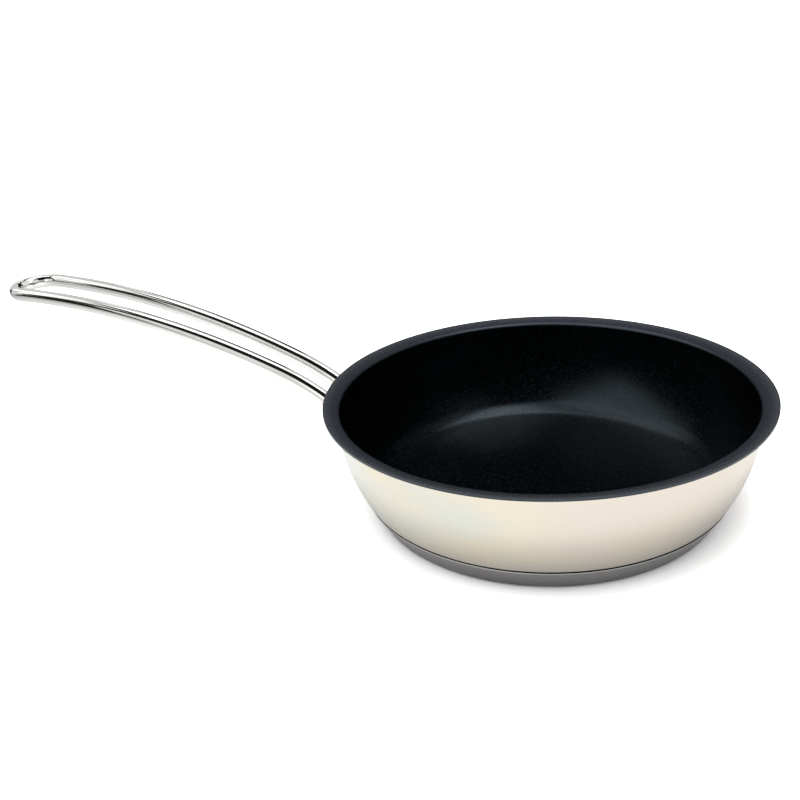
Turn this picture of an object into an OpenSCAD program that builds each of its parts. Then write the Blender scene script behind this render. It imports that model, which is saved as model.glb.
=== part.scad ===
// Frying pan, 20 cm across the lip: a pressed steel bowl with a flared pouring lip,
// a non-stick coating inside, a capsule base with an aluminium core,
// and a handle bent from one round steel rod.
// Sizes are in millimetres. The origin is the centre of the underside,
// +Z is up and the handle points along -X.

/* [Bowl] */
// Diameter over the lip
rim_d = 200; // [196:1:201]
// Height of the lip's edge above the table
pan_h = 53.3; // [52.5:0.1:56]
// Width of the flared lip
lip_w = 6.3; // [5.8:0.1:7.5]
// Slope of the lip in degrees
lip_slope = 13.4; // [8:0.1:18]
// Radius of the turn from wall to lip, on the outside
lip_r = 0.6; // [0.5:0.1:1]
// Thickness of the bowl's steel
wall_t = 0.8; // [0.7:0.1:0.9]
// Thickness of the coating
coat_t = 0.3; // [0.2:0.05:0.4]
// Diameter of the seam between the bowl and the base cap
seam_d = 167.2; // [166.2:0.1:168]
// Height of the seam above the table
seam_h = 11; // [10.7:0.1:11.3]
// Slope of the wall at the seam in degrees
seam_slope = 58.7; // [58:0.1:59.5]
// Radius of the first bend round the floor
bow_r = 24; // [23:1:25]
// Slope in degrees at which the first bend ends
bow_slope = 20; // [19:1:21]

/* [Base] */
// Thickness of the base cap's steel
cap_t = 0.5; // [0.4:0.1:0.6]
// Thickness of each brazing layer
braze_t = 0.2; // [0.15:0.05:0.25]
// Thickness of the aluminium core
core_t = 2.8; // [2.7:0.1:2.9]
// Radius of the base cap's lower edge
cap_edge_r = 2.5; // [2.2:0.1:2.8]
// Height that the base cap stands proud of the wall
cap_proud = 0.35; // [0.3:0.05:0.4]
// Width of the groove along the seam
groove_w = 0.7; // [0.6:0.1:0.8]
// Depth of the groove along the seam
groove_depth = 0.4; // [0.3:0.1:0.5]

/* [Handle] */
// Diameter of the handle's rod
rod_d = 7.5; // [7.2:0.1:7.8]
// Distance from the pan's centre to the start of the end bend
bend_x = 304.7; // [295:0.1:315]
// Height of the rod's centre line at the end bend
handle_h = 75.9; // [75:0.1:77]
// Distance between the rods' centre lines at the end bend
rods_far = 27.8; // [27:0.1:29]
// Angle in degrees by which each rod turns in towards the pan
rod_taper = 1.5; // [1.4:0.05:1.6]
// Radius of the long upper curve
upper_r = 523; // [518:1:528]
// Slope in degrees at which the upper curve passes into the lower one
upper_slope = 18.6; // [18.3:0.1:18.9]
// Radius of the lower curve beside the pan
lower_r = 138; // [134:1:142]

/* [Handle plate] */
// Width of the plate
plate_w = 40; // [39:1:42]
// Height of the plate
plate_h = 25; // [24.5:0.5:26.5]
// Height of the plate's middle above the table
plate_z = 26.5; // [26:0.5:27]
// Thickness of the plate
plate_t = 1.5; // [1.3:0.1:1.7]
// Radius of the plate's corners
plate_corner_r = 6; // [5:0.5:7]
// Diameter of each spot weld
spot_d = 4; // [3.5:0.5:4.5]
// Width of the weld bead round each rod
bead_w = 1.6; // [1.4:0.1:1.7]
// Thickness of the weld bead
bead_t = 1.4; // [1.2:0.1:1.5]

/* [Hidden] */

$fn = 96;
arc_steps = 12;
rod_sides = 24;
ring_sides = 48;
lower_steps = 8;
upper_steps = 15;
bend_steps = 24;
clearance = 0.1;
spot_proud = 0.3;
spot_inset = 4;

rim_r = rim_d / 2;
seam_r = seam_d / 2;
wall_r = rim_r - lip_w;
skin_t = wall_t + coat_t;
// Height of the underside of the bowl's flat floor
floor_z = cap_t + 2 * braze_t + core_t;

// The bowl's outside is four arcs in a row: the first bend round the floor,
// the corner, the wall, and the turn into the lip.
corner_r = (seam_h - floor_z - bow_r * (1 - cos(bow_slope))) / (cos(bow_slope) - cos(seam_slope));
floor_r = seam_r - bow_r * sin(bow_slope) - corner_r * (sin(seam_slope) - sin(bow_slope));
bow_centre = [floor_r, floor_z + bow_r];
corner_centre = bow_centre + (bow_r - corner_r) * slope_normal(bow_slope);
side_r = (wall_r - seam_r) / (1 - sin(seam_slope));
side_centre = [wall_r - side_r, seam_h + side_r * cos(seam_slope)];
lip_turn_x = wall_r + lip_r;
lip_turn_z = pan_h - (lip_r + skin_t) * cos(lip_slope)
             - (rim_r - lip_turn_x + (lip_r + skin_t) * sin(lip_slope)) * tan(lip_slope);

// The base cap's side is a straight cone that carries on the slope of the wall.
cap_corner_x = seam_r + cap_proud / sin(seam_slope) - seam_h / tan(seam_slope);
cap_flat_r = cap_corner_x - cap_edge_r * tan(seam_slope / 2);
cap_top = seam_h - groove_w / 2 * sin(seam_slope);
core_rim_slope = 36;

// The rod's lower end runs on into the plate, which trims it.
lower_slope = 44;
bend_r = rods_far / 2 / cos(rod_taper);
bend_centre_x = bend_x + bend_r * sin(rod_taper);

// Direction out of the bowl, square to its outside, where the surface has this slope
function slope_normal(slope) = [sin(slope), -cos(slope)];

// Points of an arc in the profile plane, between two slopes of the bowl's outside
function slope_arc(centre, radius, slope_from, slope_to) =
    [for (i = [0 : arc_steps]) centre + radius * slope_normal(slope_from + (slope_to - slope_from) * i / arc_steps)];

function reversed(points) = [for (i = [len(points) - 1 : -1 : 0]) points[i]];

// Profile of the bowl from its axis to the top of its wall, at a depth inside the outside face
function bowl_path(depth) = concat(
    [[0, floor_z + depth]],
    slope_arc(bow_centre, bow_r - depth, 0, bow_slope),
    slope_arc(corner_centre, corner_r - depth, bow_slope, seam_slope),
    slope_arc(side_centre, side_r - depth, seam_slope, 90)
);

// Height of the lip at a distance from the axis, at a depth inside the outside face
function lip_z(x, depth) =
    lip_turn_z + (lip_r + depth) * cos(lip_slope)
    + (x - lip_turn_x + (lip_r + depth) * sin(lip_slope)) * tan(lip_slope);

// Profile of the lip from the top of the wall out to a distance from the axis
function lip_path(depth, x_end) = concat(
    [for (i = [0 : arc_steps])
        let (turn = 180 - (90 - lip_slope) * i / arc_steps)
        [lip_turn_x, lip_turn_z] + (lip_r + depth) * [cos(turn), sin(turn)]],
    [[x_end, lip_z(x_end, depth)]]
);

// Profile of the base cap from its axis up its side to a height, at a depth inside its outside face
function cap_path(depth, height) = concat(
    [[0, depth]],
    slope_arc([cap_flat_r, cap_edge_r], cap_edge_r - depth, 0, seam_slope),
    [[cap_corner_x + height / tan(seam_slope) - depth / sin(seam_slope), height]]
);

// Solid of revolution inside the wall, from the seam up, reaching a distance beyond its outside
module wall_envelope(beyond) {
    side = slope_arc(side_centre, side_r + beyond, seam_slope, 90);
    rotate_extrude()
        polygon(concat([[0, side[0][1]]], side, [[0, side_centre[1]]]));
}

// Steel bowl with its flared lip and the groove turned along the seam
module pan_shell() {
    steel_edge = rim_r - coat_t;
    color("gainsboro")
        rotate_extrude()
            difference() {
                polygon(concat(
                    bowl_path(0),
                    lip_path(0, steel_edge),
                    reversed(lip_path(wall_t, steel_edge)),
                    reversed(bowl_path(wall_t))
                ));
                translate([seam_r, seam_h])
                    rotate(seam_slope - 90)
                        translate([-groove_depth, -groove_w / 2])
                            square([2 * groove_depth, groove_w]);
            }
}

// Coating over the inside, the top of the lip and the lip's edge
module nonstick_coating() {
    steel_edge = rim_r - coat_t;
    color("darkslategray")
        rotate_extrude()
            polygon(concat(
                bowl_path(wall_t),
                lip_path(wall_t, steel_edge),
                [[steel_edge, lip_z(steel_edge, 0)], [rim_r, lip_z(rim_r, 0)]],
                reversed(lip_path(skin_t, rim_r)),
                reversed(bowl_path(skin_t))
            ));
}

// Brazing layer between the bowl's flat floor and the core
module upper_braze_layer() {
    color("goldenrod")
        translate([0, 0, floor_z - braze_t])
            cylinder(r = floor_r, h = braze_t);
}

// Aluminium core, which follows the underside of the bowl and the inside of the cap
module heat_spreader() {
    top_arc = concat(
        slope_arc(bow_centre, bow_r + braze_t, 0, bow_slope),
        slope_arc(corner_centre, corner_r + braze_t, bow_slope, core_rim_slope)
    );
    rim_z = top_arc[len(top_arc) - 1][1];
    color("silver")
        rotate_extrude()
            polygon(concat(
                cap_path(cap_t + braze_t, rim_z),
                reversed(top_arc),
                [[0, floor_z - braze_t]]
            ));
}

// Brazing layer between the core and the cap
module lower_braze_layer() {
    color("goldenrod")
        translate([0, 0, cap_t])
            cylinder(r = cap_flat_r, h = braze_t);
}

// Pressed steel cap round the core, whose upper edge thins where it meets the bowl
module base_cap() {
    bowl_side = bowl_path(-clearance);
    color("lightgray")
        rotate_extrude()
            difference() {
                polygon(concat(cap_path(0, cap_top), reversed(cap_path(cap_t, cap_top))));
                polygon(concat(bowl_side, [[0, bowl_side[len(bowl_side) - 1][1]]]));
            }
}

// Outline of the handle plate, seen along X
module plate_outline() {
    square([plate_w - 2 * plate_corner_r, plate_h], center = true);
    square([plate_w, plate_h - 2 * plate_corner_r], center = true);
    for (y = [-1, 1], z = [-1, 1])
        translate([y * (plate_w / 2 - plate_corner_r), z * (plate_h / 2 - plate_corner_r)])
            circle(r = plate_corner_r);
}

// Straight bar along -X through the wall at the handle, with the outline given as its child
module through_wall() {
    translate([-rim_r, 0, plate_z])
        rotate([90, 0, 90])
            linear_extrude(lip_w + rim_r / 4)
                children();
}

// Places of the four spot welds on the plate
module at_spot_welds() {
    for (y = [-1, 1], z = [-1, 1])
        translate([y * (plate_w / 2 - spot_inset), z * (plate_h / 2 - spot_inset)])
            children();
}

// Shell of the given thickness that lies on the outside of the wall
module wall_layer(thickness) {
    difference() {
        wall_envelope(thickness);
        wall_envelope(0);
    }
}

// Saddle plate between the rod's ends and the wall
module handle_plate() {
    color("silver")
        intersection() {
            wall_layer(plate_t);
            through_wall()
                difference() {
                    plate_outline();
                    at_spot_welds() circle(d = spot_d);
                }
        }
}

// Spot welds that hold the plate to the wall
module plate_spot_welds() {
    color("dimgray")
        intersection() {
            wall_layer(plate_t + spot_proud);
            through_wall()
                at_spot_welds() circle(d = spot_d);
        }
}

// Distance back from the start of the end bend to where a rod has this slope
function rod_back(slope) = slope <= upper_slope
    ? upper_r * sin(slope)
    : upper_r * sin(upper_slope) + lower_r * (sin(slope) - sin(upper_slope));

// Drop from the start of the end bend to where a rod has this slope
function rod_drop(slope) = slope <= upper_slope
    ? upper_r * (1 - cos(slope))
    : upper_r * (1 - cos(upper_slope)) + lower_r * (cos(upper_slope) - cos(slope));

// One station of the rod's centre line: its place, its heading seen from above, and its climb
function rod_station(side, slope) = [
    [bend_x - rod_back(slope) * cos(rod_taper), side * (rods_far / 2 - rod_back(slope) * sin(rod_taper)),
     handle_h - rod_drop(slope)],
    side < 0 ? -rod_taper : 180 + rod_taper,
    -side * slope
];

// Stations of one rod, from the plate out to the end bend
function rod_stations(side) = concat(
    [for (i = [0 : lower_steps - 1])
        rod_station(side, lower_slope - (lower_slope - upper_slope) * i / lower_steps)],
    [for (i = [0 : upper_steps]) rod_station(side, upper_slope * (1 - i / upper_steps))]
);

// Stations between the two ends of the bend
function bend_stations() =
    [for (i = [1 : bend_steps - 1])
        let (heading = (180 + 2 * rod_taper) * i / bend_steps - rod_taper)
        [[bend_centre_x + bend_r * sin(heading), -bend_r * cos(heading), handle_h], heading, 0]];

// Ring of points round a station, square to the rod
function rod_ring(station, diameter) =
    let (heading = station[1],
         climb = station[2],
         left = [-sin(heading), cos(heading), 0],
         up = [-cos(heading) * sin(climb), -sin(heading) * sin(climb), cos(climb)])
    [for (i = [0 : rod_sides - 1])
        let (turn = 360 * i / rod_sides)
        station[0] + diameter / 2 * (cos(turn) * left + sin(turn) * up)];

// Round tube along a list of stations, turned so that the handle points along -X
module rod_tube(stations, diameter) {
    rings = len(stations);
    points = [for (station = stations) each rod_ring(station, diameter)];
    sides = [for (r = [0 : rings - 2], i = [0 : rod_sides - 1])
        let (next = (i + 1) % rod_sides)
        [r * rod_sides + i, (r + 1) * rod_sides + i, (r + 1) * rod_sides + next, r * rod_sides + next]];
    first_end = [for (i = [0 : rod_sides - 1]) i];
    last_end = [for (i = [rod_sides - 1 : -1 : 0]) (rings - 1) * rod_sides + i];
    rotate([0, 0, 180])
        polyhedron(points, concat(sides, [first_end, last_end]));
}

// Part of a ring in the XZ plane, round the Y axis
module ring_arc(radius, angle_from, angle_to, diameter) {
    rotate([90, 0, 0])
        rotate([0, 0, angle_from])
            rotate_extrude(angle = angle_to - angle_from, $fn = 4 * $fn)
                translate([radius, 0])
                    circle(d = diameter, $fn = ring_sides);
}

// Lower curves of both rods, at a chosen thickness
module lower_curves(diameter) {
    reach = upper_r - lower_r;
    rotate([0, 0, 180])
        for (side = [-1, 1])
            translate([bend_x, side * rods_far / 2, handle_h])
                rotate([0, 0, side * rod_taper])
                    translate([-reach * sin(upper_slope), 0, reach * cos(upper_slope) - upper_r])
                        ring_arc(lower_r, 90 + upper_slope, 90 + lower_slope, diameter);
}

// One rod bent into a long loop
module handle_rod() {
    color("whitesmoke")
        difference() {
            rod_tube(concat(rod_stations(-1), bend_stations(), reversed(rod_stations(1))), rod_d);
            wall_envelope(plate_t);
        }
}

// Weld beads round the two ends of the rod
module rod_weld_beads() {
    color("darkgray")
        difference() {
            intersection() {
                lower_curves(rod_d + 2 * bead_w);
                wall_envelope(plate_t + bead_t);
            }
            wall_envelope(plate_t);
            lower_curves(rod_d);
        }
}

pan_shell();
nonstick_coating();
upper_braze_layer();
heat_spreader();
lower_braze_layer();
base_cap();
handle_plate();
plate_spot_welds();
handle_rod();
rod_weld_beads();
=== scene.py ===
"""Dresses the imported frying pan: smooth pieces, procedural materials, studio light and camera.

Sizes are written in millimetres, as in the part's source, and turned into metres as meshes are made.
"""

import math

import bmesh
import bpy
from mathutils import Matrix, Vector


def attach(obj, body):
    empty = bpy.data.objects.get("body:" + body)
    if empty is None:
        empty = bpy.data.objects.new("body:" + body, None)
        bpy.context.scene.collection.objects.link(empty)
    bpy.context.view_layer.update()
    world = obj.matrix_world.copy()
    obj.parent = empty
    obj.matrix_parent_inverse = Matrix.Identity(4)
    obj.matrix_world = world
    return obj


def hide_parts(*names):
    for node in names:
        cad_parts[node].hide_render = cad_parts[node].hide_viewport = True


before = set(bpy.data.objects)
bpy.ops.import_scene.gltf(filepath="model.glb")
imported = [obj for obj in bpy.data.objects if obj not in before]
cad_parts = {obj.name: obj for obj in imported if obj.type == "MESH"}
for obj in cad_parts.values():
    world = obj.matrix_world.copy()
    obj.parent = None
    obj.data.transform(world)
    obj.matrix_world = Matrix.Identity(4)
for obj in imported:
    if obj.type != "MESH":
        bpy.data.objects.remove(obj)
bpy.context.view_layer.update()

MM = 0.001

# Bowl
RIM_R = 100
PAN_H = 53.3
LIP_W = 6.3
LIP_SLOPE = math.radians(13.4)
LIP_R = 0.6
WALL_T = 0.8
COAT_T = 0.3
SKIN_T = WALL_T + COAT_T
STEEL_RIM_R = RIM_R - COAT_T
SEAM_R = 83.6
SEAM_H = 11
SEAM_SLOPE = math.radians(58.7)
BOW_R = 24
BOW_SLOPE = math.radians(20)
WALL_R = RIM_R - LIP_W

# Base
CAP_T = 0.5
FLOOR_Z = 3.7
CAP_EDGE_R = 2.5
CAP_PROUD = 0.35
GROOVE_W = 0.7
GROOVE_DEPTH = 0.4

# Handle
ROD_R = 3.75
BEND_X = 304.7
HANDLE_H = 75.9
RODS_FAR = 27.8
ROD_TAPER = math.radians(1.5)
UPPER_R = 523
UPPER_SLOPE = math.radians(18.6)
LOWER_R = 138
LOWER_SLOPE = math.radians(46)
BEND_R = RODS_FAR / 2 / math.cos(ROD_TAPER)

# Handle plate
PLATE_W = 40
PLATE_H = 25
PLATE_Z = 26.5
PLATE_T = 1.5
PLATE_CORNER_R = 6
PLATE_EDGE_R = 0.4
SPOT_R = 2
SPOT_PROUD = 0.3
SPOT_INSET = 4
BEAD_W = 1.6
BEAD_T = 1.4

# The bowl's outside is four arcs in a row, as in the part's source.
CORNER_RISE = SEAM_H - FLOOR_Z - BOW_R * (1 - math.cos(BOW_SLOPE))
CORNER_R = CORNER_RISE / (math.cos(BOW_SLOPE) - math.cos(SEAM_SLOPE))
CORNER_REACH = CORNER_R * (math.sin(SEAM_SLOPE) - math.sin(BOW_SLOPE))
FLOOR_R = SEAM_R - BOW_R * math.sin(BOW_SLOPE) - CORNER_REACH
SIDE_R = (WALL_R - SEAM_R) / (1 - math.sin(SEAM_SLOPE))
SIDE_CENTRE = Vector((WALL_R - SIDE_R, SEAM_H + SIDE_R * math.cos(SEAM_SLOPE)))
BOW_CENTRE = Vector((FLOOR_R, FLOOR_Z + BOW_R))
LIP_TURN_X = WALL_R + LIP_R
LIP_TURN_Z = (
    PAN_H
    - (LIP_R + SKIN_T) * math.cos(LIP_SLOPE)
    - (RIM_R - LIP_TURN_X + (LIP_R + SKIN_T) * math.sin(LIP_SLOPE)) * math.tan(LIP_SLOPE)
)

# Small rounds on edges that the solids keep sharp
GROOVE_EDGE_R = 0.12
LIP_EDGE_R = 0.14
CAP_RIM_R = 0.1
# Largest share of a side that a round may take up; a corner with less room stays sharp
ROUND_SHARE = 0.49
# The cap is drawn a little thinner than it is, so that its inner face stands clear of the layers inside it
CAP_DRAWN_T = CAP_T * 0.7

# Spot welds, from the rim inwards: share of the radius and height over the plate, then the middle's height
SPOT_PROFILE = [(1.0, -0.3), (1.0, 0.08), (0.93, 0.2), (0.85, 0.24), (0.75, 0.14), (0.5, 0.18), (0.25, 0.27)]
SPOT_TOP = SPOT_PROUD - 0.01

# Weld beads: ripples round a foot, their depth and the section's hollow as shares of the bead's size,
# and how deep the bead's root lies in the plate and in the rod
RIPPLES = 12
RIPPLE_DEPTH = 0.1
BEAD_HOLLOW = 0.12
BEAD_ROOT = 0.3

# A point that is nearer to the axis than this lies on it
ON_AXIS = 1e-6

# How finely the meshes are divided
SEGMENTS = 288
ARC_STEPS = 16
EDGE_STEPS = 5
PLATE_ARC_STEPS = 8
PLATE_SIDE_STEPS = 12
SPOT_SIDES = 32
BEAD_SECTIONS = 96
BEAD_STEPS = 8
# A rod's rings: in its foot, which ends where its slope has fallen to FOOT_SLOPE, in the rest of its lower
# curve, in its upper curve and in the end bend
ROD_SIDES = 48
FOOT_SLOPE = UPPER_SLOPE + math.radians(3)
FOOT_STEPS = 24
LOWER_STEPS = 6
UPPER_STEPS = 48
BEND_STEPS = 64
# Halvings in the search for where a rod meets the plate
TRIM_STEPS = 40
# Shares of a flat part's width at which it is divided
DISC_RINGS = (0.25, 0.5, 0.75)
LIP_RINGS = (0.33, 0.66, 1)
PLATE_RINGS = (0.8, 0.6, 0.4, 0.2)
PLATE_BACK_RING = 0.5

# Angle between faces, beyond which an edge is shaded sharp
SHARP_ANGLE = math.radians(35)


def slope_normal(slope):
    """Direction out of the bowl, square to its outside, where the surface has this slope."""
    return Vector((math.sin(slope), -math.cos(slope)))


CORNER_CENTRE = BOW_CENTRE + (BOW_R - CORNER_R) * slope_normal(BOW_SLOPE)


def slope_arc(centre, radius, slope_from, slope_to, steps=ARC_STEPS):
    """Points of an arc in the profile plane, between two slopes of the bowl's outside."""
    turn = slope_to - slope_from
    return [Vector(centre) + radius * slope_normal(slope_from + turn * i / steps) for i in range(steps + 1)]


def rounded(points, radius):
    """The same open path with its sharp corners turned into small arcs of this radius."""
    result = [points[0]]
    for before, corner, after in zip(points, points[1:], points[2:]):
        to_before = (before - corner).normalized()
        to_after = (after - corner).normalized()
        half = to_before.angle(to_after) / 2
        back = radius / math.tan(half)
        room = min((before - corner).length, (after - corner).length)
        if back > room * ROUND_SHARE:
            result.append(corner)
            continue
        bisector = (to_before + to_after).normalized()
        centre = corner + bisector * radius / math.sin(half)
        start = corner + to_before * back - centre
        end = corner + to_after * back - centre
        for i in range(EDGE_STEPS + 1):
            spoke = start.lerp(end, i / EDGE_STEPS).normalized()
            result.append(centre + spoke * radius)
    result.append(points[-1])
    return result


def bowl_path(depth, grooved=False):
    """Profile of the bowl from its axis to the top of its wall, at a depth inside the outside face."""
    path = [Vector((FLOOR_R * f, FLOOR_Z + depth)) for f in (0, *DISC_RINGS)]
    path += slope_arc(BOW_CENTRE, BOW_R - depth, 0, BOW_SLOPE)
    if not grooved:
        path += slope_arc(CORNER_CENTRE, CORNER_R - depth, BOW_SLOPE, SEAM_SLOPE)[1:]
        path += slope_arc(SIDE_CENTRE, SIDE_R - depth, SEAM_SLOPE, math.pi / 2)[1:]
        return path
    below = SEAM_SLOPE - GROOVE_W / 2 / CORNER_R
    above = SEAM_SLOPE + GROOVE_W / 2 / SIDE_R
    lower = slope_arc(CORNER_CENTRE, CORNER_R, BOW_SLOPE, below)[1:]
    upper = slope_arc(SIDE_CENTRE, SIDE_R, above, math.pi / 2)
    inward = -GROOVE_DEPTH * slope_normal(SEAM_SLOPE)
    corners = [lower[-2], lower[-1], lower[-1] + inward, upper[0] + inward, upper[0], upper[1]]
    notch = rounded(corners, GROOVE_EDGE_R)
    return path + lower[:-1] + notch[1:-1] + upper[1:]


def lip_z(x, depth):
    """Height of the lip at a distance from the axis, at a depth inside the outside face."""
    rise = x - LIP_TURN_X + (LIP_R + depth) * math.sin(LIP_SLOPE)
    return LIP_TURN_Z + (LIP_R + depth) * math.cos(LIP_SLOPE) + rise * math.tan(LIP_SLOPE)


def lip_path(depth, x_end):
    """Profile of the lip from the top of the wall out to a distance from the axis."""
    centre = Vector((LIP_TURN_X, LIP_TURN_Z))
    path = []
    for i in range(1, ARC_STEPS + 1):
        turn = math.pi - (math.pi / 2 - LIP_SLOPE) * i / ARC_STEPS
        path.append(centre + (LIP_R + depth) * Vector((math.cos(turn), math.sin(turn))))
    for f in LIP_RINGS:
        x = path[ARC_STEPS - 1].x * (1 - f) + x_end * f
        path.append(Vector((x, lip_z(x, depth))))
    return path


def side_slope(height):
    """Slope of the outside of the wall at a height."""
    return math.acos(max(-1.0, min(1.0, (SIDE_CENTRE.y - height) / SIDE_R)))


def wall_radius(height, beyond):
    """Distance from the axis to a layer that lies beyond the outside of the wall, at a height."""
    return SIDE_CENTRE.x + math.sqrt((SIDE_R + beyond) ** 2 - (height - SIDE_CENTRE.y) ** 2)


def finished(name, mesh, material, node):
    """Object from a mesh: smooth shaded, riding on the frame, and standing for its CAD node."""
    mesh.polygons.foreach_set("use_smooth", [True] * len(mesh.polygons))
    mesh.set_sharp_from_angle(angle=SHARP_ANGLE)
    mesh.materials.append(material)
    piece = bpy.data.objects.new(name, mesh)
    bpy.context.scene.collection.objects.link(piece)
    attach(piece, "root")
    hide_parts(node)
    return piece


def to_mesh(name, points, faces):
    """Mesh from points in millimetres, with its faces turned outwards."""
    mesh = bpy.data.meshes.new(name)
    mesh.from_pydata([tuple(MM * c for c in p) for p in points], [], faces)
    bm = bmesh.new()
    bm.from_mesh(mesh)
    bmesh.ops.recalc_face_normals(bm, faces=bm.faces)
    bm.to_mesh(mesh)
    bm.free()
    return mesh


def tube_faces(first, rings, count):
    """Faces between neighbouring rings of points, which follow one another from a first point on."""
    faces = []
    for r in range(rings - 1):
        low = first + r * count
        for i in range(count):
            j = (i + 1) % count
            faces.append([low + i, low + j, low + count + j, low + count + i])
    return faces


def fan_faces(first, count, tip):
    """Faces between a ring of points and one point at its middle."""
    return [[first + i, first + (i + 1) % count, tip] for i in range(count)]


def revolved(name, profile):
    """Mesh of a closed profile turned round the axis; points on the axis become one vertex each."""
    points, rows = [], []
    for p in profile:
        if p.x < ON_AXIS:
            rows.append([len(points)] * SEGMENTS)
            points.append((0, 0, p.y))
            continue
        rows.append([len(points) + i for i in range(SEGMENTS)])
        for i in range(SEGMENTS):
            a = 2 * math.pi * i / SEGMENTS
            points.append((p.x * math.cos(a), p.x * math.sin(a), p.y))
    faces = []
    for lower, upper in zip(rows, rows[1:] + rows[:1]):
        for i in range(SEGMENTS):
            j = (i + 1) % SEGMENTS
            corners = list(dict.fromkeys([lower[i], lower[j], upper[j], upper[i]]))
            if len(corners) > 2:
                faces.append(corners)
    return to_mesh(name, points, faces)


# Materials

def new_material(name):
    """Empty node material and its Principled shader."""
    material = bpy.data.materials.new(name)
    material.use_nodes = True
    return material, material.node_tree.nodes["Principled BSDF"]


def add_node(tree, kind, **settings):
    """Node of a kind with its inputs or properties set by name."""
    node = tree.nodes.new(kind)
    for key, value in settings.items():
        if key in node.inputs:
            node.inputs[key].default_value = value
        else:
            setattr(node, key, value)
    return node


def math_node(tree, operation, first, second=None, third=None):
    """Math node whose inputs are links or numbers; gives its output."""
    node = tree.nodes.new("ShaderNodeMath")
    node.operation = operation
    for socket, value in zip(node.inputs, (first, second, third)):
        if value is None:
            continue
        if isinstance(value, (int, float)):
            socket.default_value = value
        else:
            tree.links.new(value, socket)
    return node.outputs[0]


def ramp_node(tree, factor, stops):
    """Colour ramp from (position, grey or colour) stops; gives its colour output."""
    node = tree.nodes.new("ShaderNodeValToRGB")
    elements = node.color_ramp.elements
    while len(elements) < len(stops):
        elements.new(0.5)
    for element, (position, colour) in zip(elements, stops):
        element.position = position
        grey = isinstance(colour, (int, float))
        element.color = (colour, colour, colour, 1) if grey else (*colour, 1)
    tree.links.new(factor, node.inputs["Fac"])
    return node.outputs["Color"]


def mapped_noise(tree, vector, scale, detail=2.0, roughness=0.5):
    """Noise over a vector; gives its factor output."""
    node = add_node(tree, "ShaderNodeTexNoise", Scale=scale, Detail=detail, Roughness=roughness)
    tree.links.new(vector, node.inputs["Vector"])
    return node.outputs["Fac"]


def object_place(tree):
    """Place on the piece, as a vector in metres."""
    return add_node(tree, "ShaderNodeTexCoord").outputs["Object"]


def object_axes(tree):
    """Place on the piece, as separate X, Y and Z."""
    split = add_node(tree, "ShaderNodeSeparateXYZ")
    tree.links.new(object_place(tree), split.inputs[0])
    return split.outputs


def rise_between(tree, value, start, end, kind="SMOOTHSTEP"):
    """Number that rises from 0 to 1 as a value in metres passes between two places in millimetres."""
    node = add_node(tree, "ShaderNodeMapRange", interpolation_type=kind)
    node.inputs["From Min"].default_value = start * MM
    node.inputs["From Max"].default_value = end * MM
    tree.links.new(value, node.inputs["Value"])
    return node.outputs["Result"]


# Places of the two values among a Mix node's inputs, and of the result among its outputs
MIX_SOCKETS = {"FLOAT": (2, 3, 0), "RGBA": (6, 7, 2)}


def mixed_value(tree, kind, factor, first, second):
    """Mix of two numbers or two colours, each a link or a fixed value."""
    node = add_node(tree, "ShaderNodeMix", data_type=kind)
    first_place, second_place, result_place = MIX_SOCKETS[kind]
    tree.links.new(factor, node.inputs["Factor"])
    for place, value in ((first_place, first), (second_place, second)):
        if isinstance(value, tuple):
            node.inputs[place].default_value = (*value, 1)
        elif isinstance(value, (int, float)):
            node.inputs[place].default_value = value
        else:
            tree.links.new(value, node.inputs[place])
    return node.outputs[result_place]


def stretched_place(tree, stretch):
    """Place on the piece, multiplied along each axis."""
    node = add_node(tree, "ShaderNodeVectorMath", operation="MULTIPLY")
    node.inputs[1].default_value = stretch
    tree.links.new(object_place(tree), node.inputs[0])
    return node.outputs[0]


def round_axis_vector(tree, along, around):
    """Distance from the axis, height and turn as one vector, so that noise over it makes turned rings."""
    axes = object_axes(tree)
    flat = add_node(tree, "ShaderNodeCombineXYZ")
    tree.links.new(axes["X"], flat.inputs["X"])
    tree.links.new(axes["Y"], flat.inputs["Y"])
    radius = add_node(tree, "ShaderNodeVectorMath", operation="LENGTH")
    tree.links.new(flat.outputs[0], radius.inputs[0])
    turn = math_node(tree, "ARCTAN2", axes["Y"], axes["X"])
    joined = add_node(tree, "ShaderNodeCombineXYZ")
    tree.links.new(math_node(tree, "MULTIPLY", radius.outputs["Value"], along), joined.inputs["X"])
    tree.links.new(math_node(tree, "MULTIPLY", axes["Z"], along), joined.inputs["Y"])
    tree.links.new(math_node(tree, "MULTIPLY", turn, around), joined.inputs["Z"])
    return joined.outputs[0]


def add_bump(tree, shader, height, strength, distance):
    """Bump from a height onto the shader."""
    bump = add_node(tree, "ShaderNodeBump", Strength=strength, Distance=distance)
    tree.links.new(height, bump.inputs["Height"])
    tree.links.new(bump.outputs["Normal"], shader.inputs["Normal"])


# Turned steel: heights in millimetres, and the depth of a bump in metres
# Painted shade: half-height, fade and colour of the dark band along the seam's groove, standing in for the
# shade in it
SEAM_SHADE_H = 0.4
SEAM_SHADE_FADE = 1.6
SEAM_SHADE_COLOUR = (0.012, 0.01, 0.009)
# Painted highlight: height of the paler band along the base cap's upper edge
EDGE_HIGHLIGHT_H = 1.3
# Noise features per metre across the rings and clouds, and per radian round the axis
RING_SCALE = 2500
RING_TURN = 3.0
CLOUD_SCALE = 40
CLOUD_TURN = 1.2
RING_SHARE = 0.35
RING_DEPTH = 0.00002
TURNED_ANISOTROPY = 0.5
# Change of the painted reflection tint for each metre along the handle's direction, and the three tints'
# places on the ramp
REFLECTION_TINT_DRIFT = 1.2
TINT_STOPS = (0.36, 0.5, 0.64)


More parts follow.
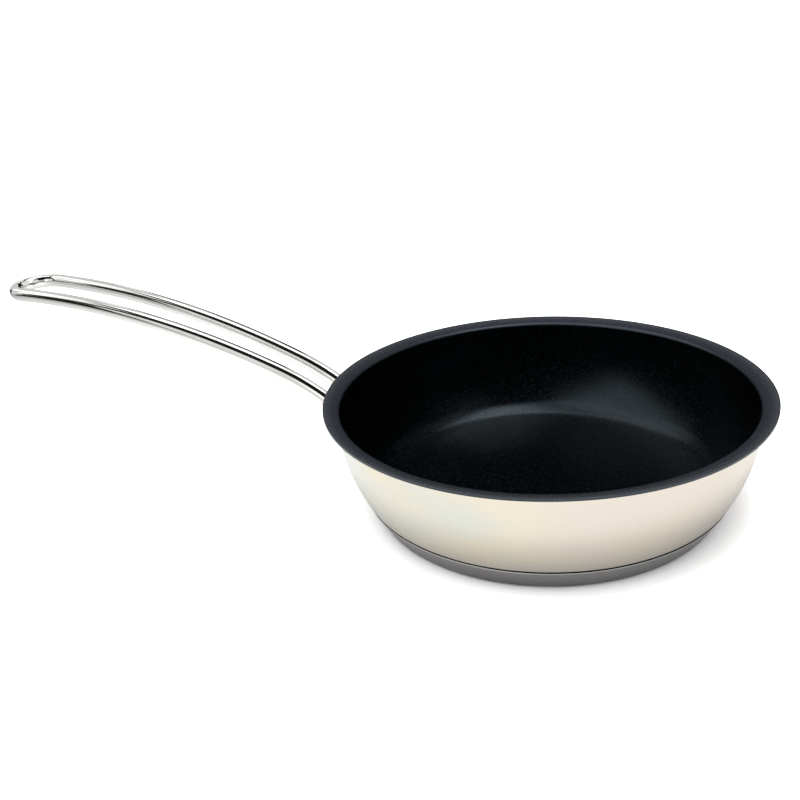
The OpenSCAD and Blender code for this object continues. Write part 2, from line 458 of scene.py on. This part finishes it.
def painted_seam_shade(tree, colour):
    """The colour, with painted shade: darkened in a narrow band along the seam's groove."""
    off = math_node(tree, "ABSOLUTE", math_node(tree, "SUBTRACT", object_axes(tree)["Z"], SEAM_H * MM))
    unshaded = rise_between(tree, off, SEAM_SHADE_H, SEAM_SHADE_H * SEAM_SHADE_FADE)
    return mixed_value(tree, "RGBA", unshaded, SEAM_SHADE_COLOUR, colour)


def painted_edge_highlight(tree, colour, light):
    """The colour, with a painted highlight: paler along the upper edge of the base cap."""
    edge_highlight = rise_between(tree, object_axes(tree)["Z"], SEAM_H - EDGE_HIGHLIGHT_H, SEAM_H - EDGE_HIGHLIGHT_H / 2)
    return mixed_value(tree, "RGBA", edge_highlight, colour, light)


def turned_steel(name, colours, rough, bump, seam_shade=False, edge_highlight=None):
    """Metal with fine rings turned round the axis and a painted reflection tint that drifts along the
    handle's direction; it can carry painted shade along the seam and a painted highlight on the cap's upper
    edge.
    """
    material, shader = new_material(name)
    tree = material.node_tree
    shader.inputs["Metallic"].default_value = 1.0
    shader.inputs["Anisotropic"].default_value = TURNED_ANISOTROPY
    rings = mapped_noise(tree, round_axis_vector(tree, RING_SCALE, RING_TURN), 1.0, detail=3.0, roughness=0.6)
    clouds = mapped_noise(tree, round_axis_vector(tree, CLOUD_SCALE, CLOUD_TURN), 1.0)
    cloud_part = math_node(tree, "MULTIPLY", clouds, 1 - RING_SHARE)
    mixed = math_node(tree, "MULTIPLY_ADD", rings, RING_SHARE, cloud_part)
    # Painted reflection tint: cooler towards the handle, warmer in the middle and pinker away from it
    reflection_drift = math_node(tree, "MULTIPLY", object_axes(tree)["X"], REFLECTION_TINT_DRIFT)
    tint = math_node(tree, "ADD", mixed, reflection_drift)
    colour = ramp_node(tree, tint, list(zip(TINT_STOPS, colours)))
    # Painted shade along the seam's groove
    if seam_shade:
        colour = painted_seam_shade(tree, colour)
    # Painted highlight along the base cap's upper edge
    if edge_highlight:
        colour = painted_edge_highlight(tree, colour, edge_highlight)
    tree.links.new(colour, shader.inputs["Base Color"])
    smooth, dull = rough
    dullness = math_node(tree, "MULTIPLY_ADD", mixed, dull - smooth, smooth)
    tree.links.new(dullness, shader.inputs["Roughness"])
    tangent = add_node(tree, "ShaderNodeTangent", direction_type="RADIAL", axis="Z")
    tree.links.new(tangent.outputs[0], shader.inputs["Tangent"])
    add_bump(tree, shader, rings, bump, RING_DEPTH)
    return material


# Coating: scales in features per metre, heights on the lip in millimetres, depth of the bump in metres
COATING_IOR = 1.45
COATING_TINT = (0.68, 0.86, 1.0, 1)
COATING_ROUGH = 0.15
FLAKE_ROUGH = 0.16
FLAKE_SCALE = 1700.0
FLAKE_LEVEL = 0.82
FLAKE_ON_LIP = 0.25
FLAKE_RELIEF = 0.5
GRAIN_SCALE = 1500.0
GRAIN_STRENGTH = 0.7
GRAIN_DEPTH = 0.00008
COATING_COLOURS = [(0.0, (0.0001, 0.0004, 0.0006)), (1.0, (0.0015, 0.003, 0.0035))]
# Painted light: the lip is a paler copy of the coating where it catches light, paler still towards its outer
# edge as a painted reflection
PAINTED_LIP_LIGHT_COLOURS = [(0.0, (0.018, 0.021, 0.026)), (0.4, (0.022, 0.025, 0.031)), (1.0, (0.044, 0.048, 0.053))]
LIP_START_H = 50.2
LIP_FULL_H = 51.6
LIP_FOOT_H = 51.8


def speckled_coating():
    """Near-black coating with fine, slightly paler flakes; the top of the lip is painted paler as lit, with a
    painted reflection rising towards its outer edge.
    """
    material, shader = new_material("speckled_coating")
    tree = material.node_tree
    shader.inputs["IOR"].default_value = COATING_IOR
    shader.inputs["Specular Tint"].default_value = COATING_TINT
    place = object_place(tree)
    height = object_axes(tree)["Z"]
    flakes = add_node(tree, "ShaderNodeTexVoronoi", Scale=FLAKE_SCALE)
    tree.links.new(place, flakes.inputs["Vector"])
    flake = add_node(tree, "ShaderNodeSeparateColor")
    tree.links.new(flakes.outputs["Color"], flake.inputs[0])
    speck = math_node(tree, "GREATER_THAN", flake.outputs[0], FLAKE_LEVEL)
    speck_light = math_node(tree, "MULTIPLY", speck, flake.outputs[1])
    inside = ramp_node(tree, speck_light, COATING_COLOURS)
    # Painted reflection rising towards the lip's outer edge
    lip_edge_reflection = rise_between(tree, height, LIP_FOOT_H, PAN_H, "LINEAR")
    lip_place = math_node(tree, "MULTIPLY_ADD", speck_light, FLAKE_ON_LIP, lip_edge_reflection)
    lip = ramp_node(tree, lip_place, PAINTED_LIP_LIGHT_COLOURS)
    on_lip = rise_between(tree, height, LIP_START_H, LIP_FULL_H)
    tree.links.new(mixed_value(tree, "RGBA", on_lip, inside, lip), shader.inputs["Base Color"])
    rough = math_node(tree, "MULTIPLY_ADD", flake.outputs[2], FLAKE_ROUGH, COATING_ROUGH)
    tree.links.new(rough, shader.inputs["Roughness"])
    grain = mapped_noise(tree, place, GRAIN_SCALE)
    surface = math_node(tree, "MULTIPLY_ADD", speck_light, FLAKE_RELIEF, grain)
    add_bump(tree, shader, surface, GRAIN_STRENGTH, GRAIN_DEPTH)
    return material


# Polished rod: a stretch multiplies the place along X, Y and Z before the noise; depth of the lines in metres
POLISH_STRETCH = (30, 1500, 1500)
SMUDGE_SCALE = 60.0
SMUDGE_COLOURS = [(0.3, (0.72, 0.71, 0.69)), (0.7, (0.8, 0.79, 0.77))]
POLISH_ROUGH = 0.05
SMUDGE_ROUGH = 0.06
LINE_ROUGH = 0.03
LINE_STRENGTH = 0.04
LINE_DEPTH = 0.00001

# Grained metals: the plate's grain runs upright
PLATE_STRETCH = (900, 2500, 150)
GRAIN_ROUGH = 0.2
GRAIN_STOPS = (0.3, 0.7)


def polished_steel():
    """Mirror-polished rod with faint lengthwise lines and slight smudges."""
    material, shader = new_material("polished_rod_steel")
    tree = material.node_tree
    shader.inputs["Metallic"].default_value = 1.0
    lines = mapped_noise(tree, stretched_place(tree, POLISH_STRETCH), 1.0, detail=3.0, roughness=0.6)
    smudges = mapped_noise(tree, object_place(tree), SMUDGE_SCALE, detail=3.0)
    tree.links.new(ramp_node(tree, smudges, SMUDGE_COLOURS), shader.inputs["Base Color"])
    rough = math_node(tree, "MULTIPLY_ADD", smudges, SMUDGE_ROUGH, POLISH_ROUGH)
    tree.links.new(math_node(tree, "MULTIPLY_ADD", lines, LINE_ROUGH, rough), shader.inputs["Roughness"])
    add_bump(tree, shader, lines, LINE_STRENGTH, LINE_DEPTH)
    return material


def grained_metal(name, colours, rough, scale, bump, depth, stretch=(1, 1, 1)):
    """Metal with a grain between two colours, which can be stretched along an axis."""
    material, shader = new_material(name)
    tree = material.node_tree
    shader.inputs["Metallic"].default_value = 1.0
    grain = mapped_noise(tree, stretched_place(tree, stretch), scale, detail=4.0, roughness=0.6)
    stops = list(zip(GRAIN_STOPS, colours))
    tree.links.new(ramp_node(tree, grain, stops), shader.inputs["Base Color"])
    tree.links.new(math_node(tree, "MULTIPLY_ADD", grain, GRAIN_ROUGH, rough), shader.inputs["Roughness"])
    add_bump(tree, shader, grain, bump, depth)
    return material


# Pieces

def make_shell(material):
    """Steel bowl with its groove along the seam and its rounded lip edge."""
    outside = bowl_path(0, grooved=True) + lip_path(0, STEEL_RIM_R)
    inside = bowl_path(WALL_T) + lip_path(WALL_T, STEEL_RIM_R)
    mesh = revolved("steel_bowl", outside + inside[::-1])
    return finished("steel_bowl", mesh, material, "pan_shell")


def make_coating(material):
    """Coating over the inside, the lip and the lip's edge."""
    under = bowl_path(WALL_T) + lip_path(WALL_T, STEEL_RIM_R)
    edge = [
        Vector((STEEL_RIM_R, lip_z(STEEL_RIM_R, 0))),
        Vector((RIM_R, lip_z(RIM_R, 0))),
        Vector((RIM_R, lip_z(RIM_R, SKIN_T))),
    ]
    top = (bowl_path(SKIN_T) + lip_path(SKIN_T, RIM_R))[::-1]
    edge = rounded([under[-1], *edge, top[1]], LIP_EDGE_R)
    mesh = revolved("nonstick_lining", under[:-1] + edge[:-1] + top[1:])
    return finished("nonstick_lining", mesh, material, "nonstick_coating")


def cap_path(depth, height):
    """Profile of the base cap from its axis up its side, at a depth inside its outside face."""
    corner_x = SEAM_R + CAP_PROUD / math.sin(SEAM_SLOPE) - SEAM_H / math.tan(SEAM_SLOPE)
    flat_r = corner_x - CAP_EDGE_R * math.tan(SEAM_SLOPE / 2)
    path = [Vector((flat_r * f, depth)) for f in (0, *DISC_RINGS)]
    path += slope_arc((flat_r, CAP_EDGE_R), CAP_EDGE_R - depth, 0, SEAM_SLOPE)
    path.append(Vector((corner_x + height / math.tan(SEAM_SLOPE) - depth / math.sin(SEAM_SLOPE), height)))
    return path


def make_cap(material):
    """Pressed cap round the core, with a small round on its upper edge."""
    top = SEAM_H - GROOVE_W / 2 * math.sin(SEAM_SLOPE)
    outside = cap_path(0, top)
    inside = cap_path(CAP_DRAWN_T, top)[::-1]
    rim = rounded([outside[-2], outside[-1], inside[0], inside[1]], CAP_RIM_R)
    mesh = revolved("base_cap_shell", outside[:-1] + rim[1:-1] + inside[1:])
    return finished("base_cap_shell", mesh, material, "base_cap")


def rod_point(side, slope):
    """Point of one rod's centre line where it has this slope, and its direction away from the pan."""
    if slope <= UPPER_SLOPE:
        back = UPPER_R * math.sin(slope)
        drop = UPPER_R * (1 - math.cos(slope))
    else:
        back = UPPER_R * math.sin(UPPER_SLOPE) + LOWER_R * (math.sin(slope) - math.sin(UPPER_SLOPE))
        drop = UPPER_R * (1 - math.cos(UPPER_SLOPE)) + LOWER_R * (math.cos(UPPER_SLOPE) - math.cos(slope))
    x = BEND_X - back * math.cos(ROD_TAPER)
    y = side * (RODS_FAR / 2 - back * math.sin(ROD_TAPER))
    heading = Vector((math.cos(ROD_TAPER), side * math.sin(ROD_TAPER), 0))
    away = heading * math.cos(slope) + Vector((0, 0, math.sin(slope)))
    return Vector((x, y, HANDLE_H - drop)), away


def ring_offset(away, turn):
    """Direction from the rod's centre line to its surface, at an angle round the rod."""
    level = Vector((0, 0, 1)).cross(away).normalized()
    up = away.cross(level).normalized()
    return level * math.cos(turn) + up * math.sin(turn)


def handle_turn(point):
    """Turns a point of the handle, made along +X, to point along -X."""
    return Vector((-point.x, -point.y, point.z))


def trimmed_slope(side, turn):
    """Slope at which a line along the rod's surface meets the outer face of the plate."""
    low, high = UPPER_SLOPE, LOWER_SLOPE
    for _ in range(TRIM_STEPS):
        middle = (low + high) / 2
        centre, away = rod_point(side, middle)
        p = centre + ROD_R * ring_offset(away, turn)
        if math.hypot(p.x, p.y) > wall_radius(p.z, PLATE_T):
            low = middle
        else:
            high = middle
    return low


def rod_rings(side, turns):
    """Rings of points of one rod from the plate out to the end bend, the first one trimmed to the plate."""
    trims = [trimmed_slope(side, turn) for turn in turns]
    rings = []
    for i in range(FOOT_STEPS):
        f = i / FOOT_STEPS
        ring = []
        for turn, trim in zip(turns, trims):
            centre, away = rod_point(side, trim * (1 - f) + FOOT_SLOPE * f)
            ring.append(centre + ROD_R * ring_offset(away, turn))
        rings.append(ring)
    slopes = [FOOT_SLOPE + (UPPER_SLOPE - FOOT_SLOPE) * i / LOWER_STEPS for i in range(LOWER_STEPS)]
    slopes += [UPPER_SLOPE * (1 - i / UPPER_STEPS) for i in range(UPPER_STEPS + 1)]
    for slope in slopes:
        centre, away = rod_point(side, slope)
        rings.append([centre + ROD_R * ring_offset(away, turn) for turn in turns])
    return rings


def make_rod(material):
    """One rod bent into a long loop, trimmed where its two ends meet the plate."""
    turns = [2 * math.pi * i / ROD_SIDES for i in range(ROD_SIDES)]
    rings = rod_rings(-1, turns)
    centre_x = BEND_X + BEND_R * math.sin(ROD_TAPER)
    sweep = math.pi + 2 * ROD_TAPER
    for i in range(1, BEND_STEPS):
        heading = sweep * i / BEND_STEPS - ROD_TAPER
        centre = Vector((centre_x + BEND_R * math.sin(heading), -BEND_R * math.cos(heading), HANDLE_H))
        away = Vector((math.cos(heading), math.sin(heading), 0))
        rings.append([centre + ROD_R * ring_offset(away, turn) for turn in turns])
    far_side = rod_rings(1, [math.pi - turn for turn in turns])
    rings += far_side[::-1]
    points = [handle_turn(p) for ring in rings for p in ring]
    faces = tube_faces(0, len(rings), ROD_SIDES)
    faces.append(list(range(ROD_SIDES)))
    faces.append([(len(rings) - 1) * ROD_SIDES + i for i in range(ROD_SIDES)])
    mesh = to_mesh("bent_rod", points, faces)
    return finished("bent_rod", mesh, material, "handle_rod")


def on_wall(y, z, beyond):
    """Point of a layer on the wall at the handle, from its place across and its height."""
    r = wall_radius(z, beyond)
    return Vector((-math.sqrt(r * r - y * y), y, z))


def plate_ring(inset):
    """Outline of the plate, drawn in by an inset, as (across, height) pairs."""
    ring = []
    radius = PLATE_CORNER_R - inset
    for quarter in range(4):
        sign_y = 1 if quarter in (0, 3) else -1
        sign_z = 1 if quarter in (0, 1) else -1
        centre_y = sign_y * (PLATE_W / 2 - PLATE_CORNER_R)
        centre_z = sign_z * (PLATE_H / 2 - PLATE_CORNER_R)
        for i in range(PLATE_ARC_STEPS + 1):
            a = math.pi / 2 * (quarter + i / PLATE_ARC_STEPS)
            ring.append((centre_y + radius * math.cos(a), centre_z + radius * math.sin(a)))
    dense = []
    for i, ((ya, za), (yb, zb)) in enumerate(zip(ring, ring[1:] + ring[:1])):
        straight = i % (PLATE_ARC_STEPS + 1) == PLATE_ARC_STEPS
        steps = PLATE_SIDE_STEPS if straight else 1
        dense += [(ya + (yb - ya) * k / steps, za + (zb - za) * k / steps) for k in range(steps)]
    return dense


def make_plate(material):
    """Saddle plate that follows the wall, with rounded outer edges."""
    layers = [(0, 0)]
    for i in range(EDGE_STEPS + 1):
        a = math.pi / 2 * i / EDGE_STEPS
        layers.append((PLATE_EDGE_R * (1 - math.cos(a)), PLATE_T - PLATE_EDGE_R * (1 - math.sin(a))))
    rings = [[on_wall(y, PLATE_Z + z, t) for y, z in plate_ring(inset)] for inset, t in layers]
    flat = plate_ring(PLATE_EDGE_R)
    for f in PLATE_RINGS:
        rings.append([on_wall(y * f, PLATE_Z + z * f, PLATE_T) for y, z in flat])
    count = len(flat)
    points = [p for ring in rings for p in ring]
    faces = tube_faces(0, len(rings), count)
    points.append(on_wall(0, PLATE_Z, PLATE_T))
    faces += fan_faces((len(rings) - 1) * count, count, len(points) - 1)
    back = len(points)
    points += [on_wall(y * PLATE_BACK_RING, PLATE_Z + z * PLATE_BACK_RING, 0) for y, z in plate_ring(0)]
    points.append(on_wall(0, PLATE_Z, 0))
    for i in range(count):
        j = (i + 1) % count
        faces.append([i, j, back + j, back + i])
    faces += fan_faces(back, count, len(points) - 1)
    mesh = to_mesh("saddle_plate", points, faces)
    return finished("saddle_plate", mesh, material, "handle_plate")


def make_spots(material):
    """Four shallow round spot welds with a low rim, proud of the plate."""
    points, faces = [], []
    rings = len(SPOT_PROFILE)
    for sy in (-1, 1):
        for sz in (-1, 1):
            first = len(points)
            cy = sy * (PLATE_W / 2 - SPOT_INSET)
            cz = PLATE_Z + sz * (PLATE_H / 2 - SPOT_INSET)
            for f, proud in SPOT_PROFILE:
                for i in range(SPOT_SIDES):
                    a = 2 * math.pi * i / SPOT_SIDES
                    y = cy + SPOT_R * f * math.cos(a)
                    points.append(on_wall(y, cz + SPOT_R * f * math.sin(a), PLATE_T + proud))
            faces += tube_faces(first, rings, SPOT_SIDES)
            points.append(on_wall(cy, cz, PLATE_T + SPOT_TOP))
            faces += fan_faces(first + (rings - 1) * SPOT_SIDES, SPOT_SIDES, len(points) - 1)
            faces.append([first + i for i in range(SPOT_SIDES)][::-1])
    mesh = to_mesh("spot_weld_marks", points, faces)
    return finished("spot_weld_marks", mesh, material, "plate_spot_welds")


def make_beads(material):
    """Rippled weld bead round the foot of each rod."""
    points, faces = [], []
    count = BEAD_SECTIONS
    row = BEAD_STEPS + 2
    for side in (-1, 1):
        foot = []
        for i in range(count):
            turn = 2 * math.pi * i / count
            centre, away = rod_point(side, trimmed_slope(side, turn))
            foot.append((centre + ROD_R * ring_offset(away, turn), away))
        middle = sum((p for p, _ in foot), Vector()) / count
        first = len(points)
        for i in range(count):
            p, away = foot[i]
            along = (foot[(i + 1) % count][0] - foot[i - 1][0]).normalized()
            flat = Vector((p.x, p.y, 0)).normalized()
            slope = side_slope(p.z)
            normal = flat * math.sin(slope) + Vector((0, 0, -math.cos(slope)))
            out = along.cross(normal).normalized()
            if out.dot(p - middle) < 0:
                out = -out
            ripple = 1 - RIPPLE_DEPTH * abs(math.sin(RIPPLES * math.pi * i / count))
            for s in range(BEAD_STEPS + 1):
                a = math.pi / 2 * s / BEAD_STEPS
                bulge = 1 - BEAD_HOLLOW * math.sin(2 * a)
                q = p + (out * BEAD_W * math.cos(a) + away * BEAD_T * math.sin(a)) * ripple * bulge
                points.append(handle_turn(q))
            points.append(handle_turn(p - normal * BEAD_ROOT - out * BEAD_ROOT))
        for i in range(count):
            here = first + i * row
            there = first + (i + 1) % count * row
            for s in range(row):
                t = (s + 1) % row
                faces.append([here + s, there + s, there + t, here + t])
    mesh = to_mesh("rod_weld_fillets", points, faces)
    return finished("rod_weld_fillets", mesh, material, "rod_weld_beads")


def dress(node, material):
    """Gives a CAD node that stays its material."""
    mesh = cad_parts[node].data
    mesh.materials.clear()
    mesh.materials.append(material)


# The wall's steel colour with painted reflection tints: cool towards the handle, warm in the middle, pinkish
# away from it
wall_steel_and_reflection_tints = [(0.58, 0.59, 0.545), (0.66, 0.61, 0.49), (0.635, 0.585, 0.515)]
# The base cap's steel is drawn darker as painted shade, for the shaded floor next to the base that it
# mirrors; lighter away from the handle
cap_steel_with_painted_shade = [(0.22, 0.215, 0.21), (0.26, 0.255, 0.25), (0.29, 0.28, 0.28)]
# Colour of the painted highlight along the base cap's upper edge
edge_highlight_colour = (0.62, 0.61, 0.605)
plate_colours = [(0.56, 0.55, 0.54), (0.7, 0.69, 0.68)]
weld_colours = [(0.3, 0.27, 0.24), (0.5, 0.47, 0.43)]
braze_colours = [(0.52, 0.5, 0.46), (0.66, 0.64, 0.6)]
core_colours = [(0.66, 0.66, 0.67), (0.76, 0.76, 0.77)]

# The wall's steel carries the painted shade along the seam
steel = turned_steel("satin_turned_steel", wall_steel_and_reflection_tints, rough=(0.17, 0.26), bump=0.15, seam_shade=True)
cap_steel = turned_steel("base_cap_steel", cap_steel_with_painted_shade, rough=(0.2, 0.3), bump=0.25, edge_highlight=edge_highlight_colour)
coating = speckled_coating()
rod_steel = polished_steel()
weld_steel = grained_metal("weld_metal", weld_colours, rough=0.35, scale=900.0, bump=0.4, depth=0.00005)
braze = grained_metal("brazing_alloy", braze_colours, rough=0.45, scale=500.0, bump=0.4, depth=0.00004)
core = grained_metal("pressed_aluminium", core_colours, rough=0.35, scale=700.0, bump=0.3, depth=0.00003)
plate_steel = grained_metal(
    "plate_grained_steel",
    plate_colours,
    rough=0.25,
    scale=1.0,
    bump=0.2,
    depth=0.00002,
    stretch=PLATE_STRETCH,
)

bowl_pieces = [make_shell(steel), make_coating(coating), make_cap(cap_steel)]
bowl_pieces += [make_plate(plate_steel), make_spots(weld_steel)]
handle_pieces = [make_rod(rod_steel), make_beads(weld_steel)]
dress("upper_braze_layer", braze)
dress("lower_braze_layer", braze)
dress("heat_spreader", core)


# Camera: the photograph's, turned so that the handle points along -X.
CAMERA_TURN = math.radians(20.15)
CAMERA_YAW = -0.15623131
CAMERA_PITCH = 0.411210297
CAMERA_ROLL = -0.0740717923
CAMERA_BACK = 417.696
CAMERA_HEIGHT = 233.234
FOCAL_MM = 45
SENSOR_MM = 36
# Nearest and farthest that the camera sees, in metres
CLIP_NEAR = 0.01
CLIP_FAR = 200

forward = Vector((
    math.sin(CAMERA_YAW) * math.cos(CAMERA_PITCH),
    math.cos(CAMERA_YAW) * math.cos(CAMERA_PITCH),
    -math.sin(CAMERA_PITCH),
))
level = Vector((math.cos(CAMERA_YAW), -math.sin(CAMERA_YAW), 0))
upright = level.cross(forward)
right = level * math.cos(CAMERA_ROLL) + upright * math.sin(CAMERA_ROLL)
up = upright * math.cos(CAMERA_ROLL) - level * math.sin(CAMERA_ROLL)
turn = Matrix.Rotation(CAMERA_TURN, 3, "Z")
right, up, forward = turn @ right, turn @ up, turn @ forward
place = turn @ Vector((0, -CAMERA_BACK, CAMERA_HEIGHT)) * MM

lens = bpy.data.cameras.new("photo_camera")
lens.lens = FOCAL_MM
lens.sensor_width = SENSOR_MM
lens.clip_start = CLIP_NEAR
lens.clip_end = CLIP_FAR
camera = bpy.data.objects.new("photo_camera", lens)
bpy.context.scene.collection.objects.link(camera)
basis = Matrix((right, up, -forward)).transposed()
camera.matrix_world = Matrix.Translation(place) @ basis.to_4x4()
bpy.context.scene.camera = camera


# Floor: overexposed for the camera, as in the photograph
FLOOR_GAIN = 1.5
FLOOR_PAINT = 0.89
# Metres from the pan to each side of the floor
FLOOR_REACH = 40
# Painted pool of light, by distance from the pan in metres, up to 1 m: the paint fades as a lit table does
# towards its edge
FLOOR_LIGHT_POOL = [(0.0, FLOOR_PAINT), (0.24, FLOOR_PAINT), (0.36, 0.6), (0.5, 0.42), (1.0, 0.34)]


def make_floor():
    """Pale floor that reaches far enough to fill the view, with a painted pool of light round the pan for all
    but camera rays.
    """
    points = [(x * FLOOR_REACH, y * FLOOR_REACH, 0) for x, y in ((-1, -1), (1, -1), (1, 1), (-1, 1))]
    mesh = bpy.data.meshes.new("studio_floor")
    mesh.from_pydata(points, [], [(0, 1, 2, 3)])
    material = bpy.data.materials.new("studio_floor_paint")
    material.use_nodes = True
    tree = material.node_tree
    tree.nodes.clear()
    seen = add_node(tree, "ShaderNodeLightPath").outputs["Is Camera Ray"]
    away = add_node(tree, "ShaderNodeVectorMath", operation="LENGTH")
    tree.links.new(object_place(tree), away.inputs[0])
    paint = add_node(tree, "ShaderNodeBsdfDiffuse")
    # Painted pool of light round the pan, for all but camera rays
    tree.links.new(ramp_node(tree, away.outputs["Value"], FLOOR_LIGHT_POOL), paint.inputs["Color"])
    bright = add_node(tree, "ShaderNodeBsdfDiffuse", Color=(FLOOR_GAIN, FLOOR_GAIN, FLOOR_GAIN, 1))
    mix = add_node(tree, "ShaderNodeMixShader")
    out = add_node(tree, "ShaderNodeOutputMaterial")
    tree.links.new(seen, mix.inputs[0])
    tree.links.new(paint.outputs[0], mix.inputs[1])
    tree.links.new(bright.outputs[0], mix.inputs[2])
    tree.links.new(mix.outputs[0], out.inputs["Surface"])
    mesh.materials.append(material)
    floor = bpy.data.objects.new("studio_floor", mesh)
    bpy.context.scene.collection.objects.link(floor)


make_floor()


# Light

# Soft boxes are placed on a plan of the sky, in degrees from the zenith: x to the camera's right and y away
# from the camera. All stand equally far, in metres, from the place they are aimed at.
VIEW_AZIMUTH = math.atan2(forward.x, forward.y)
BOX_DISTANCE = 2
BOWL_AIM = (0, 0, 0)
HANDLE_AIM = (-BEND_X * 0.7, 0, HANDLE_H)


def plan_direction(x, y):
    """Direction in the row frame of a place on the plan of the sky."""
    azimuth = math.atan2(x, y) + VIEW_AZIMUTH
    tilt = math.radians(math.hypot(x, y))
    return Vector((math.sin(azimuth) * math.sin(tilt), math.cos(azimuth) * math.sin(tilt), math.cos(tilt)))


def soft_box(name, target, x, y, half_x, half_y, radiance, receivers=None):
    """Rectangular light aimed at a target; with receivers, only these pieces mirror it."""
    towards = plan_direction(x, y)
    camera_right = plan_direction(90, 0)
    across = (camera_right - towards * camera_right.dot(towards)).normalized()
    along = towards.cross(across)
    light = bpy.data.lights.new(name, "AREA")
    light.shape = "RECTANGLE"
    light.size = 2 * BOX_DISTANCE * math.tan(math.radians(half_x))
    light.size_y = 2 * BOX_DISTANCE * math.tan(math.radians(half_y))
    light.energy = radiance * math.pi * light.size * light.size_y
    box = bpy.data.objects.new(name, light)
    bpy.context.scene.collection.objects.link(box)
    frame_axes = Matrix((across, along, towards)).transposed()
    place = Vector(target) * MM + towards * BOX_DISTANCE
    box.matrix_world = Matrix.Translation(place) @ frame_axes.to_4x4()
    box.visible_camera = False
    if receivers is None:
        box.visible_glossy = False
    else:
        box.visible_diffuse = False
        box.light_linking.receiver_collection = receivers


def linked_group(name, pieces):
    """Group of pieces that a light can be limited to."""
    group = bpy.data.collections.new(name)
    for piece in pieces:
        group.objects.link(piece)
    return group


# Each row of the next lists is a soft box: x, y, half width and half depth in degrees, and radiance.
# Soft boxes that the bowl mirrors, from the main one overhead to dim fill
BOWL_BOXES = [
    (-23, -4, 47, 38, 0.72),
    (-41, -16, 25, 34, 0.45),
    (-28, -20, 16, 22, 0.4),
    (-12, 25, 24, 12, 0.6),
    (14, -4, 12, 22, 2.2),
    (36, -18, 12, 26, 0.25),
    (50, 0, 14, 28, 0.08),
    (-40, 44, 20, 8, 0.1),
]
# Soft boxes that the polished rods mirror: overhead, beyond, to both sides, and behind the camera
ROD_BOXES = [
    (-1, 13.5, 26, 9.5, 1.6),
    (-1, 30, 14, 8, 1.6),
    (2, 50, 8, 4, 0.8),
    (-9, 59, 7, 6, 0.7),
    (-34, 46, 20, 33, 0.72),
    (-62, 19, 25, 20, 0.8),
    (-45, -56, 25, 25, 0.9),
    (-48, -1, 10, 6, 1.1),
    (47, 26, 30, 34, 0.95),
    (44, -26, 24, 24, 0.75),
    (12, -62, 40, 12, 0.6),
]
KEY_BOX = (-6.4, -7.7, 26, 26, 3.6)
DOME_GLOW = 0.75
MIRRORED_GLOW = 0.01
CAMERA_GLOW = 1.0


def make_lights():
    """Key light for matt surfaces, and the soft boxes that shiny ones mirror."""
    bowl = linked_group("bowl_lit_pieces", bowl_pieces)
    handle = linked_group("handle_lit_pieces", handle_pieces)
    soft_box("key_box", BOWL_AIM, *KEY_BOX)
    for i, box in enumerate(BOWL_BOXES):
        soft_box("bowl_box_%d" % (i + 1), BOWL_AIM, *box, bowl)
    for i, box in enumerate(ROD_BOXES):
        soft_box("rod_box_%d" % (i + 1), HANDLE_AIM, *box, handle)


def make_world():
    """Even glow: full for the camera, faint in reflections and soft for matt surfaces."""
    world = bpy.data.worlds.new("studio")
    bpy.context.scene.world = world
    world.use_nodes = True
    world.cycles.sampling_method = "NONE"
    tree = world.node_tree
    background = tree.nodes["Background"]
    background.inputs["Color"].default_value = (1, 1, 1, 1)
    path = add_node(tree, "ShaderNodeLightPath")
    mirrored = mixed_value(tree, "FLOAT", path.outputs["Is Glossy Ray"], DOME_GLOW, MIRRORED_GLOW)
    seen = mixed_value(tree, "FLOAT", path.outputs["Is Camera Ray"], mirrored, CAMERA_GLOW)
    tree.links.new(seen, background.inputs["Strength"])


make_lights()
make_world()
bpy.context.scene.view_settings.view_transform = "Standard"
